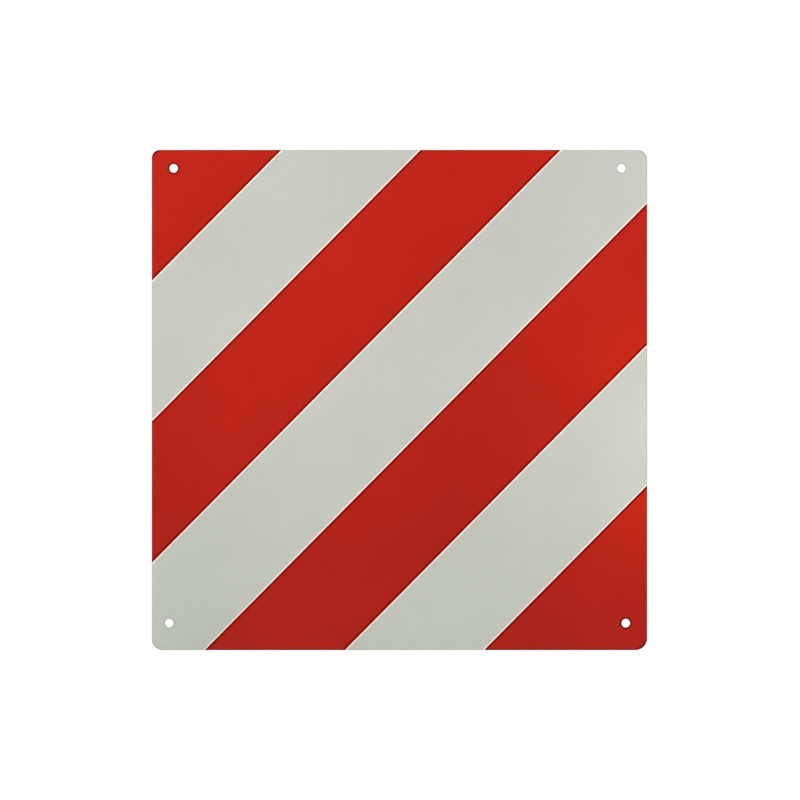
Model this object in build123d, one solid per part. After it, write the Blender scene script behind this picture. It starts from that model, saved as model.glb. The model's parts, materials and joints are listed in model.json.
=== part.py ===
from build123d import *
import os

# Square hazard panel: an aluminium plate faced with strips of red and white reflective film.
# Lengths are in millimetres and angles in degrees. X runs to the right and Z up as the face is
# read, and the face looks along -Y. The origin is the centre of the plate's back face.

# Plate: one sheet, with every edge of both faces broken by a small chamfer
PLATE_WIDTH = 500.0
PLATE_HEIGHT = 500.0
PLATE_THICKNESS = 1.0
EDGE_BREAK = 0.1

# Corners, rounded by hand and so a little different from each other
TOP_LEFT_RADIUS = 8.0
TOP_RIGHT_RADIUS = 10.0
BOTTOM_LEFT_RADIUS = 11.0
BOTTOM_RIGHT_RADIUS = 12.0

# Punched holes, each placed from the two plate edges beside it
HOLE_DIAMETER = 8.5
TOP_HOLE_INSET = 18.5
BOTTOM_HOLE_INSET = 27.0
TOP_LEFT_HOLE_INSET = 22.0
TOP_RIGHT_HOLE_INSET = 26.0
BOTTOM_LEFT_HOLE_INSET = 17.5
BOTTOM_RIGHT_HOLE_INSET = 21.5

# Stripes, which rise to the right: the middle one is white and lies a little towards the top left
STRIPE_COUNT = 7  # an odd number, with the pieces that fill the two corners
STRIPE_WIDTH = 99.7
STRIPE_ANGLE = 45.0
STRIPE_SHIFT = 11.9

# Film strips, each on its own layer of adhesive
FILM_THICKNESS = 0.2
ADHESIVE_THICKNESS = 0.05
SEAM_GAP = 0.3
FILM_SETBACK = 0.05  # bare metal between the film and the chamfer of each plate edge or hole

# For each corner: its side and level as signs, its radius and its hole's two insets
CORNERS = [
    (-1, 1, TOP_LEFT_RADIUS, TOP_LEFT_HOLE_INSET, TOP_HOLE_INSET),
    (1, 1, TOP_RIGHT_RADIUS, TOP_RIGHT_HOLE_INSET, TOP_HOLE_INSET),
    (-1, -1, BOTTOM_LEFT_RADIUS, BOTTOM_LEFT_HOLE_INSET, BOTTOM_HOLE_INSET),
    (1, -1, BOTTOM_RIGHT_RADIUS, BOTTOM_RIGHT_HOLE_INSET, BOTTOM_HOLE_INSET),
]


def outline(setback):
    """The plate's outline drawn in by a setback, with its holes opened up by as much."""
    shape = Rectangle(PLATE_WIDTH - 2 * setback, PLATE_HEIGHT - 2 * setback)
    for side, level, radius, side_inset, level_inset in CORNERS:
        corner = (side * PLATE_WIDTH / 2, level * PLATE_HEIGHT / 2)
        nearest = shape.vertices().sort_by_distance(corner)[0]
        shape = fillet(nearest, radius - setback)
    for side, level, radius, side_inset, level_inset in CORNERS:
        x = side * (PLATE_WIDTH / 2 - side_inset)
        z = level * (PLATE_HEIGHT / 2 - level_inset)
        shape -= Pos(x, z) * Circle(HOLE_DIAMETER / 2 + setback)
    return shape


def layer(shape, depth, thickness):
    """A flat shape made a sheet whose back lies at a depth in front of the plate's back face."""
    return extrude(Plane.XZ * Pos(0, 0, depth) * shape, thickness)


def backing_plate():
    """The bare plate, with the edges of its two faces broken."""
    sheet = layer(outline(0), 0, PLATE_THICKNESS)
    faces = sheet.faces().sort_by(Axis.Y)
    return chamfer(faces[0].edges() + faces[-1].edges(), EDGE_BREAK)


def film_strips():
    """The flat shape of each strip under its colour and number, from the top left corner down."""
    face = outline(EDGE_BREAK + FILM_SETBACK)
    past_corners = PLATE_WIDTH + PLATE_HEIGHT
    outermost = STRIPE_COUNT // 2
    counts = {"red": 0, "white": 0}
    strips = {}
    for step in range(outermost, -outermost - 1, -1):
        centre = STRIPE_SHIFT + step * STRIPE_WIDTH
        bottom = centre - (STRIPE_WIDTH - SEAM_GAP) / 2
        top = centre + (STRIPE_WIDTH - SEAM_GAP) / 2
        if step == outermost:
            top = past_corners
        if step == -outermost:
            bottom = -past_corners
        band = Pos(0, (bottom + top) / 2) * Rectangle(2 * past_corners, top - bottom)
        colour = "red" if step % 2 else "white"
        counts[colour] += 1
        strips[colour, counts[colour]] = face & (Rot(0, 0, STRIPE_ANGLE) * band)
    return strips


pieces = {"backing_plate": backing_plate()}
film_depth = PLATE_THICKNESS + ADHESIVE_THICKNESS
for (colour, number), strip in film_strips().items():
    pieces[f"{colour}_film_{number}"] = layer(strip, film_depth, FILM_THICKNESS)
    pieces[f"{colour}_film_{number}_adhesive"] = layer(strip, PLATE_THICKNESS, ADHESIVE_THICKNESS)

os.makedirs("parts", exist_ok=True)
for name, piece in pieces.items():
    export_step(piece, f"parts/{name}.step")
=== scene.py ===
"""Dresses a square hazard panel: reflective film strips on a thin aluminium plate.

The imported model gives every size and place. Each operator below builds one kind of piece over the
solids that it stands for, and the last one sets up the studio.
"""
import json
from functools import reduce
from math import cos, radians, sin

import bpy
from bpy.props import FloatProperty, FloatVectorProperty, IntProperty, PointerProperty
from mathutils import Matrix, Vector


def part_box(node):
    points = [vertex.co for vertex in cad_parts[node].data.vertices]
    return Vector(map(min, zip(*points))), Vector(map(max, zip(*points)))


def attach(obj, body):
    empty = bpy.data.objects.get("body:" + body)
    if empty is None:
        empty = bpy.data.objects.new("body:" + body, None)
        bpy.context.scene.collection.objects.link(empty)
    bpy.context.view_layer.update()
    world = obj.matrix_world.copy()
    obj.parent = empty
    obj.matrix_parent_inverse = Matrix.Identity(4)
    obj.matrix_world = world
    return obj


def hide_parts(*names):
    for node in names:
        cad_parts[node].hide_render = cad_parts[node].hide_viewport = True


bl_info = {
    "name": "Hazard panel",
    "version": (1, 0, 0),
    "blender": (4, 5, 0),
    "location": "3D View > Sidebar > Hazard panel",
    "description": "Builds the film, adhesive, plate and studio of a striped hazard panel",
    "category": "Object",
}

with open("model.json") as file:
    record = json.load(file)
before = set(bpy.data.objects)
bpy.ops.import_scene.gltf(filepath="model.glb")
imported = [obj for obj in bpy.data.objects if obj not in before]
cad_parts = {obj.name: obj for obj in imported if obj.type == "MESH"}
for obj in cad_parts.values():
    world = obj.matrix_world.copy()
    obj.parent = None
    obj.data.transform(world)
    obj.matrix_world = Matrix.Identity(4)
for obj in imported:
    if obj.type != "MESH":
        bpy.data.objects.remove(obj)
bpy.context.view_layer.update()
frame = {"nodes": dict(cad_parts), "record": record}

BODY = "root"
PLATE = "backing_plate"
ADHESIVE_ENDING = "_adhesive"
MILLIMETRE = 0.001
TOUCHING = 0.01 * MILLIMETRE

# Side and level of the corner that each radius belongs to
CORNERS = {
    "Top Left Radius": (-1, 1),
    "Top Right Radius": (1, 1),
    "Bottom Left Radius": (-1, -1),
    "Bottom Right Radius": (1, -1),
}


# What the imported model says

def corner_radii():
    """Radius of each of the plate's corners, from where its straight edges end."""
    low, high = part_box(PLATE)
    places = [vertex.co for vertex in frame["nodes"][PLATE].data.vertices]
    radii = {}
    for name, (side, level) in CORNERS.items():
        corner = high.x if side > 0 else low.x
        edge = high.z if level > 0 else low.z
        on_edge = [place for place in places if abs(place.z - edge) < TOUCHING]
        radii[name] = min(abs(corner - place.x) for place in on_edge)
    return radii


def hole_rows():
    """The record's rows of holes through the plate."""
    return [mount for mount in frame["record"]["mounts"] if mount["kind"] == "bolt_pattern"]


def hole_centres():
    """Centres of the plate's holes in its own plane."""
    centres = []
    for row in hole_rows():
        x, _, z = row["pos_m"]
        half = row["dims"]["spacing_x_mm"] * MILLIMETRE / 2
        centres += [(x - half, z), (x + half, z)]
    return centres


def hole_radius():
    """Radius of the plate's holes, which are all alike."""
    return hole_rows()[0]["dims"]["hole_r_mm"] * MILLIMETRE


def film_spans(angle):
    """How far each film reaches across the stripes, from the bottom right corner up."""
    spans = {}
    for name, node in frame["nodes"].items():
        if name != PLATE and not name.endswith(ADHESIVE_ENDING):
            places = [vertex.co for vertex in node.data.vertices]
            across = [place.z * cos(angle) - place.x * sin(angle) for place in places]
            spans[name] = (min(across), max(across))
    return dict(sorted(spans.items(), key=lambda item: item[1]))


def open_spans(angle):
    """The spans of the films, with those of the two corner pieces opened outwards past the plate."""
    spans = film_spans(angle)
    first, *_, last = spans
    spans[first] = (spans[first][0] - plate_width(), spans[first][1])
    spans[last] = (spans[last][0], spans[last][1] + plate_width())
    return spans


def seams(angle):
    """Places of the seams across the stripes, from the bottom right corner up."""
    spans = list(film_spans(angle).values())
    return [(below[1] + above[0]) / 2 for below, above in zip(spans, spans[1:])]


def film_setback(angle):
    """How far the film stays inside the plate's outline, from the film that reaches furthest."""
    reach = max(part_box(name)[1].x for name in film_spans(angle))
    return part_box(PLATE)[1].x - reach


def plate_width():
    """Width of the plate."""
    low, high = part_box(PLATE)
    return high.x - low.x


# Values that a user would change

class PanelSizes(bpy.types.PropertyGroup):
    """Sizes of the details that the solids leave out."""

    stripe_angle: FloatProperty(
        name="Stripe angle", description="Rise of the stripes to the right",
        default=radians(45), subtype="ANGLE")
    film_rounding: FloatProperty(
        name="Film rounding", description="Rounding of the film's cut edges",
        default=0.06 * MILLIMETRE, min=0, precision=5, unit="LENGTH")
    plate_rounding: FloatProperty(
        name="Plate rounding", description="Rounding of the plate's edges and holes",
        default=0.1 * MILLIMETRE, min=0, precision=5, unit="LENGTH")
    rounding_steps: IntProperty(
        name="Rounding steps", description="Faces across each rounded edge", default=3, min=1)
    corner_steps: IntProperty(
        name="Corner steps", description="Points along each rounded corner", default=24, min=2)
    hole_steps: IntProperty(
        name="Hole steps", description="Points around each hole", default=96, min=12)
    # The red trim is painted shade and the white trim a painted highlight, along each seam
    red_trim_width: FloatProperty(
        name="Red trim width", description="Width of the red film's dark edge along each seam",
        default=2.47 * MILLIMETRE, min=0, precision=4, unit="LENGTH")
    white_trim_width: FloatProperty(
        name="White trim width", description="Width of the white film's bright edge along each seam",
        default=1.81 * MILLIMETRE, min=0, precision=4, unit="LENGTH")
    # The bands that wander are the painted shade and painted highlight along the seams, and the darker
    # bands at the corners, holes and outline
    fraying: FloatProperty(
        name="Fraying", description="How far the worn bands wander",
        default=0.7 * MILLIMETRE, min=0, precision=4, unit="LENGTH")
    # On the red film the lip is a painted highlight at its cut edge
    lip_width: FloatProperty(
        name="Lip width", description="Width of the lip at each film's very edge along a seam",
        default=0.44 * MILLIMETRE, min=0, precision=4, unit="LENGTH")
    hole_lip_width: FloatProperty(
        name="Hole lip width", description="Width of the lip round each hole, which catches the light",
        default=0.7 * MILLIMETRE, min=0, precision=4, unit="LENGTH")
    shear_width: FloatProperty(
        name="Shear width", description="Width of the film's darker edge along the plate's outline",
        default=1.3 * MILLIMETRE, min=0, precision=4, unit="LENGTH")
    punch_width: FloatProperty(
        name="Punch width", description="Width of the film's darker band at each corner and hole",
        default=2.6 * MILLIMETRE, min=0, precision=4, unit="LENGTH")
    # The faded patch is a painted highlight, partly fading; these four values place it
    fade_width: FloatProperty(
        name="Fade width", description="How far the faded patch reaches in from the right edge",
        default=90 * MILLIMETRE, min=0, unit="LENGTH")
    fade_height: FloatProperty(
        name="Fade height", description="Height of the faded patch's middle above the panel's",
        default=-50 * MILLIMETRE, unit="LENGTH")
    fade_core: FloatProperty(
        name="Fade core", description="How far the faded patch is even, up and down from its middle",
        default=30 * MILLIMETRE, min=0, unit="LENGTH")
    fade_reach: FloatProperty(
        name="Fade reach", description="How far the faded patch runs out, up and down from its middle",
        default=160 * MILLIMETRE, min=0, unit="LENGTH")


class PanelColours(bpy.types.PropertyGroup):
    """Colours of the panel's materials and of the floor."""

    red_film: FloatVectorProperty(
        name="Red film", description="Face of the red film at the top",
        default=(0.410, 0.0114, 0.0040), subtype="COLOR")
    # Painted shade: the red film's colour at the bottom, tinted as shade falls there
    red_grimed: FloatVectorProperty(
        name="Red grimed", description="Face of the red film at the bottom, which grime tints",
        default=(0.410, 0.0084, 0.0017), subtype="COLOR")
    # Painted highlight, partly fading: the red film's colour in the patch at the right edge
    red_faded: FloatVectorProperty(
        name="Red faded", description="Face of the red film where it is faded most",
        default=(0.5125, 0.0149, 0.0009), subtype="COLOR")
    # Painted shade along the red film's edge at each seam
    red_trim: FloatVectorProperty(
        name="Red trim", description="Edge of the red film along a seam",
        default=(0.144, 0.001, 0.001), subtype="COLOR")
    # Painted highlight at the red film's cut edge along each seam
    red_lip: FloatVectorProperty(
        name="Red lip", description="Lip at the very edge of the red film along a seam",
        default=(0.6, 0.003, 0.002), subtype="COLOR")
    white_film: FloatVectorProperty(
        name="White film", description="Face of the white film at the top",
        default=(0.430, 0.435, 0.396), subtype="COLOR")
    # Painted shade: the white film's colour at the bottom, tinted as shade falls there
    white_grimed: FloatVectorProperty(
        name="White grimed", description="Face of the white film at the bottom, which grime tints",
        default=(0.430, 0.459, 0.406), subtype="COLOR")
    # Painted highlight, partly fading: the white film's colour in the patch at the right edge
    white_faded: FloatVectorProperty(
        name="White faded", description="Face of the white film where it is faded most",
        default=(0.466, 0.485, 0.435), subtype="COLOR")
    # Painted highlight along the white film's edge at each seam
    white_trim: FloatVectorProperty(
        name="White trim", description="Edge of the white film along a seam",
        default=(0.9, 0.75, 0.64), subtype="COLOR")
    white_lip: FloatVectorProperty(
        name="White lip", description="Lip at the very edge of the white film along a seam",
        default=(0.9, 0.2, 0.15), subtype="COLOR")
    aluminium: FloatVectorProperty(
        name="Aluminium", description="Rolled face of the plate",
        default=(0.74, 0.75, 0.76), subtype="COLOR")
    adhesive: FloatVectorProperty(
        name="Adhesive", description="Cut edge of the adhesive",
        default=(0.62, 0.60, 0.54), subtype="COLOR")
    floor: FloatVectorProperty(
        name="Floor", description="Studio floor",
        default=(0.65, 0.65, 0.65), subtype="COLOR")


class StudioSizes(bpy.types.PropertyGroup):
    """Where the camera stands and what it takes in, and how far the lights and the floor reach."""

    camera_turn: FloatProperty(
        name="Camera turn", description="Turn of the camera to the right of square on",
        default=radians(8.11), subtype="ANGLE")
    camera_distance: FloatProperty(
        name="Camera distance", description="Distance of the camera from the panel",
        default=3.0, min=0, unit="LENGTH")
    picture_height: FloatProperty(
        name="Picture height", description="Height that the picture takes in",
        default=0.7996, min=0, precision=4, unit="LENGTH")
    picture_shift: FloatProperty(
        name="Picture shift", description="Move of the picture to the right of the panel's centre",
        default=0.42 * MILLIMETRE, precision=4, unit="LENGTH")
    light_spread: FloatProperty(
        name="Light spread", description="How wide each light's beam opens",
        default=radians(90), subtype="ANGLE")
    floor_width: FloatProperty(
        name="Floor width", description="Width of the square floor",
        default=30.0, min=0, unit="LENGTH")


# Node trees written as sums

# How far out a mark starts to run out and where it ends, as shares of its own size
MARK_CORE = 0.2
MARK_END = 0.5


class Link:
    """An output socket with which sums can be written."""

    def __init__(self, nodes, socket):
        self.nodes = nodes
        self.socket = socket

    def maths(self, operation, first, second=0.0):
        """The result of one Math node."""
        return self.nodes.add("ShaderNodeMath", {"operation": operation}, {0: first, 1: second})

    def __add__(self, other):
        return self.maths("ADD", self, other)

    def __radd__(self, other):
        return self.maths("ADD", other, self)

    def __sub__(self, other):
        return self.maths("SUBTRACT", self, other)

    def __rsub__(self, other):
        return self.maths("SUBTRACT", other, self)

    def __mul__(self, other):
        return self.maths("MULTIPLY", self, other)

    def __rmul__(self, other):
        return self.maths("MULTIPLY", other, self)

    def __truediv__(self, other):
        return self.maths("DIVIDE", self, other)

    def __gt__(self, other):
        return self.maths("GREATER_THAN", self, other)

    def __lt__(self, other):
        return self.maths("LESS_THAN", self, other)

    def __abs__(self):
        return self.maths("ABSOLUTE", self)

    def back_and_forth(self, reach):
        """A value that runs up to a reach and back to nothing, over and over."""
        return self.maths("PINGPONG", self, reach)

    def lesser(self, other):
        """The lesser of two values."""
        return self.maths("MINIMUM", self, other)

    def greater(self, other):
        """The greater of two values."""
        return self.maths("MAXIMUM", self, other)


class Nodes:
    """A node tree that is filled one node at a time."""

    def __init__(self, tree):
        self.tree = tree

    def add(self, kind, settings=(), inputs=(), output=0):
        """Adds a node, sets its settings first and then its sockets, and gives one of its outputs."""
        node = self.tree.nodes.new(kind)
        for name, value in dict(settings).items():
            setattr(node, name, value)
        for name, value in dict(inputs).items():
            for one in value if isinstance(value, list) else [value]:
                self.feed(node, name, one)
        return Link(self, node.outputs[output])

    def feed(self, node, name, value):
        """Links or sets one of a node's sockets."""
        if isinstance(value, Link):
            self.tree.links.new(value.socket, node.inputs[name])
        else:
            node.inputs[name].default_value = value

    def end(self, kind, link):
        """Adds the node that a tree ends in."""
        self.tree.links.new(link.socket, self.tree.nodes.new(kind).inputs[0])

    def parts(self, vector):
        """The three values of a vector."""
        node = self.add("ShaderNodeSeparateXYZ", {}, {0: vector}).socket.node
        return [Link(self, socket) for socket in node.outputs]

    def vector(self, x, y, z):
        """A vector of three values."""
        return self.add("ShaderNodeCombineXYZ", {}, {0: x, 1: y, 2: z})

    def apart(self, first, second):
        """The distance between two places."""
        settings = {"operation": "DISTANCE"}
        return self.add("ShaderNodeVectorMath", settings, {0: first, 1: second}, "Value")

    def ease(self, value, start, end):
        """A smooth step from 0 to 1 as a value goes from a start to an end."""
        settings = {"interpolation_type": "SMOOTHSTEP"}
        return self.add("ShaderNodeMapRange", settings, {0: value, 1: start, 2: end})

    def band(self, distance, core, width):
        """A smooth step from 1 to 0 as a distance goes from a core to a width."""
        return 1 - self.ease(distance, core, width)

    def noise(self, place, scale, detail=2.0, roughness=0.5):
        """Soft noise about nothing, which seldom passes a half either way."""
        inputs = {"Vector": place, "Scale": scale, "Detail": detail, "Roughness": roughness}
        return self.add("ShaderNodeTexNoise", {}, inputs) - 0.5

    def stretched_noise(self, x, y, z, detail=2.0):
        """Soft noise about nothing, with a scale of its own along each of three values."""
        return self.noise(self.vector(x, y, z), scale=1, detail=detail)

    def patches(self, place, scale, seed):
        """Soft noise about nothing of one seed."""
        inputs = {"Vector": place, "W": seed, "Scale": scale, "Detail": 2.0}
        return self.add("ShaderNodeTexNoise", {"noise_dimensions": "4D"}, inputs) - 0.5

    def marks(self, place, pitch, length, width, share):
        """Short upright marks, one at most in each cell of a pitch, in only a share of the cells."""
        x, _, z = self.parts(place)
        flat = self.vector(x, 0, z)
        settings = {"voronoi_dimensions": "3D", "feature": "F1"}
        inputs = {"Vector": flat, "Scale": 1 / pitch}
        cells = self.add("ShaderNodeTexVoronoi", settings, inputs).socket.node
        chance, turn, _ = self.parts(Link(self, cells.outputs["Color"]))
        gap = {0: flat, 1: Link(self, cells.outputs["Position"])}
        offset = self.add("ShaderNodeVectorMath", {"operation": "SUBTRACT"}, gap)
        tilt = turn - 0.5
        settings = {"rotation_type": "Y_AXIS"}
        turned = self.add("ShaderNodeVectorRotate", settings, {"Vector": offset, "Angle": tilt})
        x, _, z = self.parts(turned)
        distance = self.apart(self.vector(x / width, 0, z / length), (0, 0, 0))
        return self.band(distance, MARK_CORE, MARK_END) * (chance < share)

    def blend(self, share, first, second):
        """One colour turned into another by a share."""
        inputs = {0: share, 6: first, 7: second}
        return self.add("ShaderNodeMix", {"data_type": "RGBA"}, inputs, 2)

    def tone(self, colour, factor):
        """A colour made lighter or darker by a factor."""
        inputs = {0: colour, "Scale": factor}
        return self.add("ShaderNodeVectorMath", {"operation": "SCALE"}, inputs)

    def corner_radius(self, x, up, radii):
        """The radius of the corner in whose quarter of the panel a place lies."""
        right = x > 0
        top = up > 0
        top_radius = right * radii["Top Right Radius"] + (1 - right) * radii["Top Left Radius"]
        bottom_radius = right * radii["Bottom Right Radius"] + (1 - right) * radii["Bottom Left Radius"]
        return top * top_radius + (1 - top) * bottom_radius


# Sheets: one node tree cuts the plate, the film strips and the adhesive

HOLES = [f"Hole {number}" for number, _ in enumerate(hole_centres(), start=1)]

# Inputs of the tree by the kind of socket that they need
SHEET_INPUTS = {
    "NodeSocketFloat": [
        "Width", "Height", *CORNERS, "Hole Radius", "Setback", "Depth", "Thickness",
        "Stripe Angle", "Stripe Low", "Stripe High",
    ],
    "NodeSocketInt": ["Corner Steps", "Hole Steps"],
    "NodeSocketVector": HOLES,
    "NodeSocketMaterial": ["Material"],
}

# Edges that turn more sharply than this are rounded
SHARP_TURN = radians(35)

# Faces whose normal has this much of its length along Y are flat
FLATNESS = 0.999


def sheet_tree():
    """The tree that cuts a sheet with round corners and holes, and trims it to one stripe."""
    tree = bpy.data.node_groups.new("Cut sheet", "GeometryNodeTree")
    tree.interface.new_socket("Geometry", in_out="OUTPUT", socket_type="NodeSocketGeometry")
    for kind, names in SHEET_INPUTS.items():
        for name in names:
            tree.interface.new_socket(name, in_out="INPUT", socket_type=kind)
    nodes = Nodes(tree)
    entry = nodes.add("NodeGroupInput").socket.node
    names = [name for kind_names in SHEET_INPUTS.values() for name in kind_names]
    size = {name: Link(nodes, entry.outputs[name]) for name in names}

    # Outline of the sheet, drawn in by the setback, with its own radius at each corner
    outline_width = size["Width"] - 2 * size["Setback"]
    outline_height = size["Height"] - 2 * size["Setback"]
    outline_sizes = {0: outline_width, 1: outline_height}
    rectangle = nodes.add("GeometryNodeCurvePrimitiveQuadrilateral", {}, outline_sizes)
    x, y, _ = nodes.parts(nodes.add("GeometryNodeInputPosition"))
    radius = nodes.corner_radius(x, y, size) - size["Setback"]
    fillet_inputs = {"Curve": rectangle, "Count": size["Corner Steps"], "Radius": radius}
    outline = nodes.add("GeometryNodeFilletCurve", {"mode": "POLY"}, fillet_inputs)

    # One round hole at each of the places
    picker = nodes.add("GeometryNodeIndexSwitch", {"data_type": "VECTOR"}).socket.node
    while len(picker.index_switch_items) < len(HOLES):
        picker.index_switch_items.new()
    nodes.feed(picker, "Index", nodes.add("GeometryNodeInputIndex"))
    for number, name in enumerate(HOLES, start=1):
        nodes.feed(picker, number, size[name])
    place_inputs = {"Count": len(HOLES), "Position": Link(nodes, picker.outputs[0])}
    places = nodes.add("GeometryNodePoints", {}, place_inputs)
    ring_inputs = {"Resolution": size["Hole Steps"], "Radius": size["Hole Radius"] + size["Setback"]}
    ring = nodes.add("GeometryNodeCurvePrimitiveCircle", {}, ring_inputs)
    rings = nodes.add("GeometryNodeInstanceOnPoints", {}, {"Points": places, "Instance": ring})
    holes = nodes.add("GeometryNodeRealizeInstances", {}, {0: rings})

    # The flat shape made a closed sheet, stood up with its face along -Y
    edges = nodes.add("GeometryNodeJoinGeometry", {}, {0: [outline, holes]})
    flat = nodes.add("GeometryNodeFillCurve", {"mode": "NGONS"}, {0: edges})
    extrude_inputs = {"Mesh": flat, "Offset Scale": size["Thickness"], "Individual": False}
    raised = nodes.add("GeometryNodeExtrudeMesh", {}, extrude_inputs)
    underside = nodes.add("GeometryNodeFlipFaces", {}, {0: flat})
    shell = nodes.add("GeometryNodeJoinGeometry", {}, {0: [raised, underside]})
    merge_inputs = {"Geometry": shell, "Distance": TOUCHING / 10}
    closed = nodes.add("GeometryNodeMergeByDistance", {}, merge_inputs)
    forward = nodes.vector(0, 0 - size["Depth"], 0)
    upright = {"Geometry": closed, "Rotation": (radians(90), 0, 0), "Translation": forward}
    sheet = nodes.add("GeometryNodeTransform", {}, upright)

    # A long bar along the stripe, which the sheet is trimmed to
    stripe_width = size["Stripe High"] - size["Stripe Low"]
    stripe_middle = (size["Stripe High"] + size["Stripe Low"]) / 2
    reach = size["Width"] + size["Height"]
    bar_size = nodes.vector(2 * reach, reach, stripe_width)
    bar = nodes.add("GeometryNodeMeshCube", {}, {"Size": bar_size})
    lift = nodes.vector(0, 0, stripe_middle)
    turn = nodes.vector(0, 0 - size["Stripe Angle"], 0)
    raised_bar = nodes.add("GeometryNodeTransform", {}, {"Geometry": bar, "Translation": lift})
    stripe = nodes.add("GeometryNodeTransform", {}, {"Geometry": raised_bar, "Rotation": turn})
    trim_settings = {"operation": "INTERSECT", "solver": "EXACT"}
    strip = nodes.add("GeometryNodeMeshBoolean", trim_settings, {"Mesh 2": [sheet, stripe]})

    realized = nodes.add("GeometryNodeRealizeInstances", {}, {0: strip})
    finish_inputs = {"Geometry": realized, "Material": size["Material"]}
    nodes.end("NodeGroupOutput", nodes.add("GeometryNodeSetMaterial", {}, finish_inputs))
    return tree


def sheet_values(node, span, material):
    """What the tree's inputs are for the sheet in the place of a node."""
    sizes = bpy.context.scene.panel_sizes
    plate_low, plate_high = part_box(PLATE)
    low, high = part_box(node)
    values = {
        "Width": plate_width(),
        "Height": plate_high.z - plate_low.z,
        "Corner Steps": sizes.corner_steps,
        "Hole Radius": hole_radius(),
        "Hole Steps": sizes.hole_steps,
        "Setback": film_setback(sizes.stripe_angle) if node != PLATE else 0.0,
        "Depth": -high.y,
        "Thickness": high.y - low.y,
        "Stripe Angle": sizes.stripe_angle,
        "Stripe Low": span[0],
        "Stripe High": span[1],
        "Material": material,
    }
    values.update(corner_radii())
    values.update((name, (x, z, 0.0)) for name, (x, z) in zip(HOLES, hole_centres()))
    return values


def cut_sheet(name, node, span, rounding, material):
    """A sheet as a plain mesh piece in the place of a node, trimmed to a span across the stripes."""
    values = sheet_values(node, span, material)
    tree = bpy.data.node_groups.get("Cut sheet") or sheet_tree()
    piece = bpy.data.objects.new(name, bpy.data.meshes.new(name))
    bpy.context.scene.collection.objects.link(piece)
    cutter = piece.modifiers.new("Cut sheet", "NODES")
    cutter.node_group = tree
    for socket in tree.interface.items_tree:
        if socket.in_out == "INPUT":
            cutter[socket.identifier] = values[socket.name]
    if rounding:
        bevel = piece.modifiers.new("Rounded edges", "BEVEL")
        bevel.width = rounding
        bevel.segments = bpy.context.scene.panel_sizes.rounding_steps
        bevel.limit_method = "ANGLE"
        bevel.angle_limit = SHARP_TURN
        bevel.use_clamp_overlap = False
    graph = bpy.context.evaluated_depsgraph_get()
    mesh = bpy.data.meshes.new_from_object(piece.evaluated_get(graph))
    piece.modifiers.clear()
    piece.data = mesh
    mesh.name = name
    for face in mesh.polygons:
        face.use_smooth = abs(face.normal.y) < FLATNESS
    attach(piece, BODY)
    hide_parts(node)
    return piece


# Materials

# How each film's tone changes and how it shines. Edge dark is the tone that it loses at its corners and
# holes, and outline share is the share of that along its straight edges. The painted shade slope is
# painted shade, the tone lost for each metre down; the painted light slope is painted light, the tone
# gained for each metre to the right; and patchiness is how deep its soft patches are.
FILM_FINISHES = {
    "red": {
        "wear": 0.7, "shear": 1.0, "grime": 0.47, "lean": 0.1,
        "patchiness": 0.45, "seed": 2067, "metallic": 0.4,
    },
    "white": {
        "wear": 0.12, "shear": 0.0, "grime": 0.1, "lean": 0.0,
        "patchiness": 0.23, "seed": 852, "metallic": 0.15,
    },
}

# How deeply the film's patterns change its tone, its clear top and its height
FILM_TONE = {"web": 0.03, "beads": 0.16, "smudges": 0.07, "scuffs": -0.03, "specks": -0.08}
FILM_TOP = {"mottle": 0.2, "scuffs": -0.3}
FILM_RELIEF = {"ripple": 0.5 * MILLIMETRE, "peel": 0.03 * MILLIMETRE, "scuffs": -0.01 * MILLIMETRE}

# How deeply the plate's patterns change the tone, the roughness and the height of its rolled face
PLATE_TONE = {"rolled": 0.12, "bands": 0.08, "smudges": 0.08, "scratches": 0.03}
PLATE_ROUGHNESS = {"rolled": 0.12, "smudges": 0.14, "scratches": -0.05}
ROLLED_RELIEF = 0.004 * MILLIMETRE

# Tone of the plate's sawn edges, the painted shade that darkens its front face where it shows in the
# seams and at the rim, and how deep their torn grain is
EDGE_TONE = 0.3
RIM_SHADE = 0.22
TORN_TONE = 0.25
TORN_RELIEF = 0.02 * MILLIMETRE

# Where each band of the film starts to run out, as a share of the band's width
TRIM_CORE = 0.45
LIP_CORE = 0.5
CORNER_CORE = 0.2
HOLE_CORE = 0.35
HOLE_LIP_CORE = 0.3

# Share of a corner's radius over which its band comes in
CORNER_ENTRY = 0.45

# What a distance from the outline counts for at a corner, which widens the band there
CORNER_WIDENING = 0.75


def opaque(colour):
    """A property's colour as a socket takes it."""
    return (*colour, 1.0)


def new_material(name):
    """An empty material, with its nodes and its shader."""
    material = bpy.data.materials.new(name)
    material.use_nodes = True
    tree = material.node_tree
    tree.nodes.clear()
    nodes = Nodes(tree)
    shader = nodes.add("ShaderNodeBsdfPrincipled")
    nodes.end("ShaderNodeOutputMaterial", shader)
    return material, nodes, shader.socket.node


def set_shader(nodes, shader, values):
    """Sets or links the shader's sockets."""
    for name, value in values.items():
        nodes.feed(shader, name, value)


def relief(nodes, height):
    """A normal that follows a height in metres."""
    return nodes.add("ShaderNodeBump", {}, {"Distance": 1.0, "Height": height})


def mixture(base, depths, patterns):
    """A base with patterns added to it, each to its own depth."""
    return sum((depth * patterns[name] for name, depth in depths.items()), base)


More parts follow.
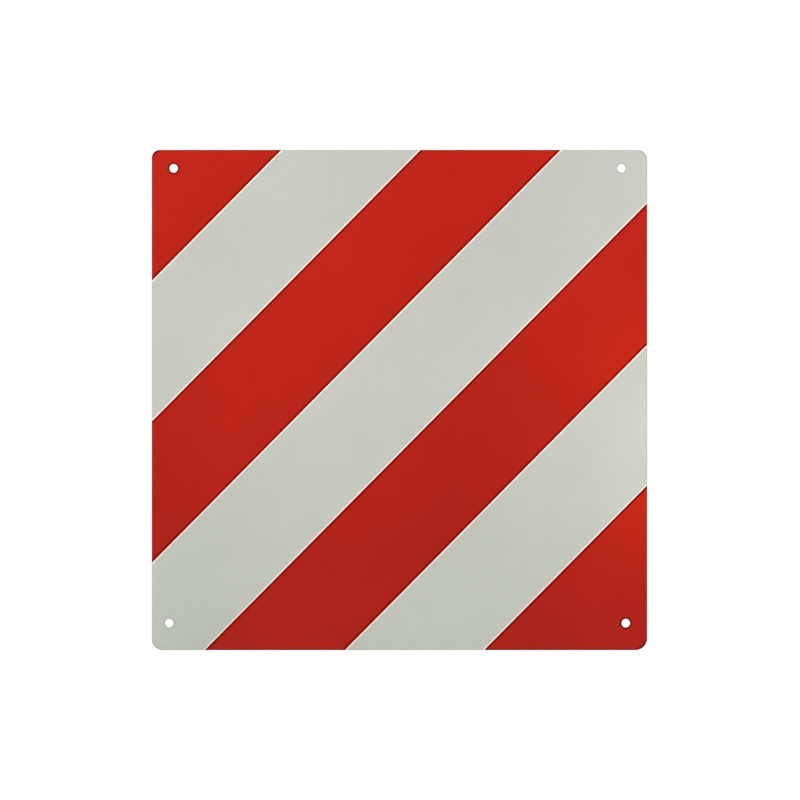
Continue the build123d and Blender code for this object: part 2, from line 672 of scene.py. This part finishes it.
def seam_shade_and_highlight(nodes, colour, across, wander):
    """How far a place lies in a film's trim along the nearest seam, and in the lip at its very edge,
    where painted shade and painted highlight go.
    """
    sizes = bpy.context.scene.panel_sizes
    lines = seams(sizes.stripe_angle)
    pitch = (lines[-1] - lines[0]) / (len(lines) - 1)
    limits = {0: across, 1: lines[0] - pitch / 2, 2: lines[-1] + pitch / 2}
    inside = nodes.add("ShaderNodeClamp", {}, limits)
    seam_distance = (inside - lines[0]).back_and_forth(pitch / 2)
    trim_width = getattr(sizes, f"{colour}_trim_width")
    trimmed = nodes.band(seam_distance + wander, TRIM_CORE * trim_width, trim_width)
    lipped = nodes.band(seam_distance, LIP_CORE * sizes.lip_width, sizes.lip_width)
    return trimmed, lipped


def edge_darkness(nodes, x, z, wander, shear):
    """How much darker the film is: a band at its corners and holes, and a share of that along its
    outline.
    """
    sizes = bpy.context.scene.panel_sizes
    _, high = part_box(PLATE)
    radius = nodes.corner_radius(x, z, corner_radii())
    beyond_x = (abs(x) - high.x + radius).greater(0)
    beyond_z = (abs(z) - high.z + radius).greater(0)
    from_outline = radius - nodes.apart(nodes.vector(beyond_x, 0, beyond_z), (0, 0, 0))
    flat = nodes.vector(x, 0, z)
    centre_distances = [nodes.apart(flat, (hole_x, 0, hole_z)) for hole_x, hole_z in hole_centres()]
    from_hole = reduce(Link.lesser, centre_distances) - hole_radius()
    along_outline = shear * nodes.band(from_outline, 0, sizes.shear_width)
    cornered = nodes.ease(beyond_x.lesser(beyond_z), 0, CORNER_ENTRY * radius)
    corner_distance = CORNER_WIDENING * from_outline + wander
    rounded = nodes.band(corner_distance, CORNER_CORE * sizes.punch_width, sizes.punch_width)
    punched = nodes.band(from_hole + wander, HOLE_CORE * sizes.punch_width, sizes.punch_width)
    past_lip = nodes.ease(from_hole, HOLE_LIP_CORE * sizes.hole_lip_width, sizes.hole_lip_width)
    return along_outline.greater(cornered * rounded).greater(punched * past_lip)


def faded_highlight_patch(nodes, x, z):
    """How strongly the film shows a painted highlight, partly fading: a soft patch at the right edge.
    """
    sizes = bpy.context.scene.panel_sizes
    _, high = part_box(PLATE)
    outward = nodes.ease(x, high.x - sizes.fade_width, high.x)
    return outward * nodes.band(abs(z - sizes.fade_height), sizes.fade_core, sizes.fade_reach)


def film_material(colour):
    """Beaded reflective film under a clear top, with painted shade and painted highlight along its
    seams, a darker band along its outline, corners and holes, painted shade towards the bottom and a
    painted highlight at the right edge.
    """
    sizes = bpy.context.scene.panel_sizes
    colours = bpy.context.scene.panel_colours
    parts = ("film", "grimed", "faded", "trim", "lip")
    upper, lower, faded, trim, lip = (opaque(getattr(colours, f"{colour}_{part}")) for part in parts)
    finish = FILM_FINISHES[colour]
    material, nodes, shader = new_material(f"{colour}_film_face")
    place = nodes.add("ShaderNodeTexCoord", output="Object")
    x, _, z = nodes.parts(place)
    across = z * cos(sizes.stripe_angle) - x * sin(sizes.stripe_angle)
    along = x * cos(sizes.stripe_angle) + z * sin(sizes.stripe_angle)
    wander = nodes.noise(place, scale=400) * sizes.fraying
    # Painted shade on the red film's side of each seam, painted highlight on the white film's, and on
    # the red lip
    trimmed, lipped = seam_shade_and_highlight(nodes, colour, across, wander)
    darkened = edge_darkness(nodes, x, z, wander, finish["shear"])
    patterns = {
        "mottle": nodes.patches(nodes.vector(x, 0, z), scale=4, seed=finish["seed"]),
        "web": nodes.stretched_noise(along * 2, across * 70, 0),
        "beads": nodes.noise(place, scale=1800, detail=4),
        "smudges": nodes.noise(place, scale=30, detail=3, roughness=0.9),
        "scuffs": nodes.marks(place, pitch=0.06, length=0.04, width=0.0009, share=0.4),
        "specks": nodes.marks(place, pitch=0.024, length=0.0018, width=0.0014, share=0.25),
        "ripple": nodes.noise(place, scale=6),
        "peel": nodes.noise(place, scale=400, detail=3),
    }
    low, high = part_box(PLATE)
    # Painted shade: the face turns to the bottom colour lower down
    face = nodes.blend((z - low.z) / (high.z - low.z), lower, upper)
    # Painted highlight, partly fading, in a soft patch at the right edge
    face = nodes.blend(faded_highlight_patch(nodes, x, z), face, faded)
    # Soft random patches, with painted shade darker towards the bottom and painted light brighter
    # towards the right
    mottle_and_painted_light = finish["patchiness"] * patterns["mottle"] + finish["grime"] * z + finish["lean"] * x
    # Darker towards the outline, the corners and the holes
    tone = mixture(1 + mottle_and_painted_light, FILM_TONE, patterns) * (1 - finish["wear"] * darkened)
    bare = 1 - darkened.greater(trimmed)
    # The trims and the red lip lay painted shade and painted highlight along each seam
    set_shader(nodes, shader, {
        "Base Color": nodes.tone(nodes.blend(trimmed, face, nodes.blend(lipped, trim, lip)), tone),
        "Metallic": finish["metallic"],
        "Roughness": 0.42 + 0.1 * nodes.noise(place, scale=90),
        "Specular IOR Level": 0.05,
        "Coat Weight": mixture(0.45, FILM_TOP, patterns) * bare,
        "Coat Roughness": 0.12,
        "Normal": relief(nodes, mixture(0, FILM_RELIEF, patterns)),
    })
    return material


def aluminium_material():
    """Mill finish aluminium: a rolled back with handling marks, dull edges, and painted shade on the
    front face where it shows in the seams.
    """
    colours = bpy.context.scene.panel_colours
    material, nodes, shader = new_material("rolled_aluminium")
    place = nodes.add("ShaderNodeTexCoord", output="Object")
    x, y, z = nodes.parts(place)
    _, facing, _ = nodes.parts(nodes.add("ShaderNodeTexCoord", output="Normal"))
    back = nodes.ease(facing, start=0.3, end=0.98)
    front = 1 - nodes.ease(facing, start=-0.95, end=-0.4)
    patterns = {
        "rolled": nodes.stretched_noise(x * 900, 0, z * 6, detail=3),
        "bands": nodes.stretched_noise(x * 60, 0, z * 1.5),
        "smudges": nodes.noise(place, scale=9, detail=4),
        "scratches": nodes.marks(place, pitch=0.09, length=0.09, width=0.0008, share=0.35),
    }
    torn = nodes.stretched_noise(x * 3000, y * 500, z * 3000, detail=3)
    face_tone = mixture(1, PLATE_TONE, patterns)
    # Painted shade darkens the front face, which shows only in the seams and at the rim
    edge_tone = EDGE_TONE - RIM_SHADE * front + TORN_TONE * torn
    height = patterns["rolled"] * ROLLED_RELIEF + torn * (1 - back) * TORN_RELIEF
    set_shader(nodes, shader, {
        "Base Color": nodes.tone(colours.aluminium, edge_tone + back * (face_tone - edge_tone)),
        "Metallic": 1.0,
        "Roughness": mixture(0.5 - 0.16 * back, PLATE_ROUGHNESS, patterns),
        "Normal": relief(nodes, height),
    })
    return material


def adhesive_material():
    """Clear acrylic adhesive, seen only as a hairline at the film's edges."""
    colours = bpy.context.scene.panel_colours
    material, nodes, shader = new_material("adhesive_edge")
    place = nodes.add("ShaderNodeTexCoord", output="Object")
    clouds = nodes.noise(place, scale=400)
    set_shader(nodes, shader, {
        "Base Color": nodes.tone(colours.adhesive, 1 + 0.3 * clouds),
        "Roughness": 0.5 + 0.2 * clouds,
    })
    return material


def floor_material():
    """Plain pale floor, which is clear from below so that it never hides the panel."""
    colours = bpy.context.scene.panel_colours
    material, nodes, shader = new_material("studio_floor")
    place = nodes.add("ShaderNodeTexCoord", output="Object")
    set_shader(nodes, shader, {
        "Base Color": nodes.tone(colours.floor, 1 + 0.02 * nodes.noise(place, scale=3)),
        "Roughness": 0.8,
        "Alpha": 1 - nodes.add("ShaderNodeNewGeometry", output="Backfacing"),
    })
    return material


# Pieces

class HAZARD_PANEL_OT_plate(bpy.types.Operator):
    """Cuts the aluminium plate"""

    bl_idname = "hazard_panel.plate"
    bl_label = "Plate"

    def execute(self, context):
        whole = (-plate_width(), plate_width())
        rounding = context.scene.panel_sizes.plate_rounding
        plate = cut_sheet("plate_sheet", PLATE, whole, rounding, aluminium_material())
        return {"FINISHED"}


class HAZARD_PANEL_OT_adhesive(bpy.types.Operator):
    """Cuts the layer of adhesive under each film strip"""

    bl_idname = "hazard_panel.adhesive"
    bl_label = "Adhesive"

    def execute(self, context):
        material = adhesive_material()
        for film, span in open_spans(context.scene.panel_sizes.stripe_angle).items():
            node = film + ADHESIVE_ENDING
            layer = cut_sheet(node.replace("film", "strip"), node, span, 0, material)
        return {"FINISHED"}


class HAZARD_PANEL_OT_film(bpy.types.Operator):
    """Cuts the reflective film strips"""

    bl_idname = "hazard_panel.film"
    bl_label = "Film strips"

    def execute(self, context):
        sizes = context.scene.panel_sizes
        materials = {colour: film_material(colour) for colour in FILM_FINISHES}
        for film, span in open_spans(sizes.stripe_angle).items():
            colour = film.split("_")[0]
            name = film.replace("film", "strip")
            strip = cut_sheet(name, film, span, sizes.film_rounding, materials[colour])
        return {"FINISHED"}


# Studio

# Where each light stands and how wide it is, in metres, and its power in watts
LIGHTS = {
    "left": {"place": (-0.8, -0.7, 0.4), "width": 0.8, "power": 2.1},
    "right": {"place": (0.9, -0.7, 0.4), "width": 0.8, "power": 3.4},
    "rear_left": {"place": (-1.4, 2.0, 1.3), "width": 1.6, "power": 2.5},
    "rear_right": {"place": (1.7, 1.8, 0.9), "width": 1.4, "power": 1.5},
}

WHITE = (1, 1, 1, 1)

# Glow of the backdrop, of the surroundings all round, and of what is added to them overhead
BACKDROP_GLOW = 1.05
AMBIENT_GLOW = 0.2
OVERHEAD_GLOW = 1.4

# Height of a direction at which the glow overhead starts, and at which it is whole
OVERHEAD_START = 0.3
OVERHEAD_FULL = 0.95


def add_to_scene(name, data):
    """An object of its own for some data, put into the scene."""
    thing = bpy.data.objects.new(name, data)
    bpy.context.scene.collection.objects.link(thing)
    return thing


def lay_floor():
    """A square floor under the panel's lower edge."""
    low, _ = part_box(PLATE)
    half = bpy.context.scene.studio_sizes.floor_width / 2
    outline = ((-half, -half), (half, -half), (half, half), (-half, half))
    mesh = bpy.data.meshes.new("studio_floor")
    mesh.from_pydata([(x, y, low.z) for x, y in outline], [], [(0, 1, 2, 3)])
    mesh.materials.append(floor_material())
    add_to_scene("studio_floor", mesh)


def hang_light(name, place, width, power):
    """A soft square light that looks at the panel and stays out of the picture."""
    light = bpy.data.lights.new(name, "AREA")
    light.size = width
    light.energy = power
    light.spread = bpy.context.scene.studio_sizes.light_spread
    lamp = add_to_scene(name, light)
    lamp.location = place
    lamp.rotation_euler = (-Vector(place)).to_track_quat("-Z", "Y").to_euler()
    lamp.visible_camera = False


def set_surroundings():
    """White surroundings: a plain backdrop for the camera, and for the panel a glow from overhead."""
    world = bpy.data.worlds.new("white_surroundings")
    bpy.context.scene.world = world
    world.use_nodes = True
    world.node_tree.nodes.clear()
    nodes = Nodes(world.node_tree)
    seen = nodes.add("ShaderNodeLightPath", output="Is Camera Ray")
    backdrop = nodes.add("ShaderNodeBackground", {}, {"Color": WHITE, "Strength": BACKDROP_GLOW})
    _, _, up = nodes.parts(nodes.add("ShaderNodeTexCoord", output="Generated"))
    glow = AMBIENT_GLOW + OVERHEAD_GLOW * nodes.ease(up, OVERHEAD_START, OVERHEAD_FULL)
    fill = nodes.add("ShaderNodeBackground", {}, {"Color": WHITE, "Strength": glow})
    both = nodes.add("ShaderNodeMixShader", {}, {0: seen, 1: fill, 2: backdrop})
    nodes.end("ShaderNodeOutputWorld", both)


def stand_camera():
    """A camera without perspective, level with the panel's centre and a little to its right."""
    scene = bpy.context.scene
    studio = scene.studio_sizes
    camera = bpy.data.cameras.new("camera")
    camera.type = "ORTHO"
    camera.ortho_scale = studio.picture_height
    stand = add_to_scene("camera", camera)
    turn = studio.camera_turn
    to_camera = Vector((sin(turn), -cos(turn), 0))
    to_right = Vector((cos(turn), sin(turn), 0))
    stand.location = to_camera * studio.camera_distance + to_right * studio.picture_shift
    stand.rotation_euler = (radians(90), 0, turn)
    scene.camera = stand


class HAZARD_PANEL_OT_stage(bpy.types.Operator):
    """Sets up the floor, the lights, the white surroundings and the camera"""

    bl_idname = "hazard_panel.stage"
    bl_label = "Studio"

    def execute(self, context):
        lay_floor()
        for name, light in LIGHTS.items():
            hang_light(name, **light)
        set_surroundings()
        stand_camera()
        context.scene.view_settings.view_transform = "Standard"
        return {"FINISHED"}


# The add-on

class HAZARD_PANEL_PT_sidebar(bpy.types.Panel):
    """Lists the panel's pieces and values"""

    bl_idname = "HAZARD_PANEL_PT_sidebar"
    bl_label = "Hazard panel"
    bl_space_type = "VIEW_3D"
    bl_region_type = "UI"
    bl_category = "Hazard panel"

    def draw(self, context):
        for operator in OPERATORS:
            self.layout.operator(operator.bl_idname)
        for group_name, group in GROUPS.items():
            box = self.layout.box()
            for value_name in group.__annotations__:
                box.prop(getattr(context.scene, group_name), value_name)


GROUPS = {"panel_sizes": PanelSizes, "panel_colours": PanelColours, "studio_sizes": StudioSizes}
OPERATORS = (
    HAZARD_PANEL_OT_plate, HAZARD_PANEL_OT_adhesive, HAZARD_PANEL_OT_film, HAZARD_PANEL_OT_stage,
)


def register():
    """Registers every class and hangs the values on the scene."""
    for one in (*GROUPS.values(), *OPERATORS, HAZARD_PANEL_PT_sidebar):
        bpy.utils.register_class(one)
    for name, group in GROUPS.items():
        setattr(bpy.types.Scene, name, PointerProperty(type=group))


def unregister():
    """Takes off what register put on."""
    for name in GROUPS:
        delattr(bpy.types.Scene, name)
    for one in (HAZARD_PANEL_PT_sidebar, *reversed(OPERATORS), *reversed(GROUPS.values())):
        bpy.utils.unregister_class(one)


def main():
    """Builds the whole panel."""
    register()
    for operator in OPERATORS:
        group, name = operator.bl_idname.split(".")
        getattr(getattr(bpy.ops, group), name)()


if __name__ == "__main__":
    main()
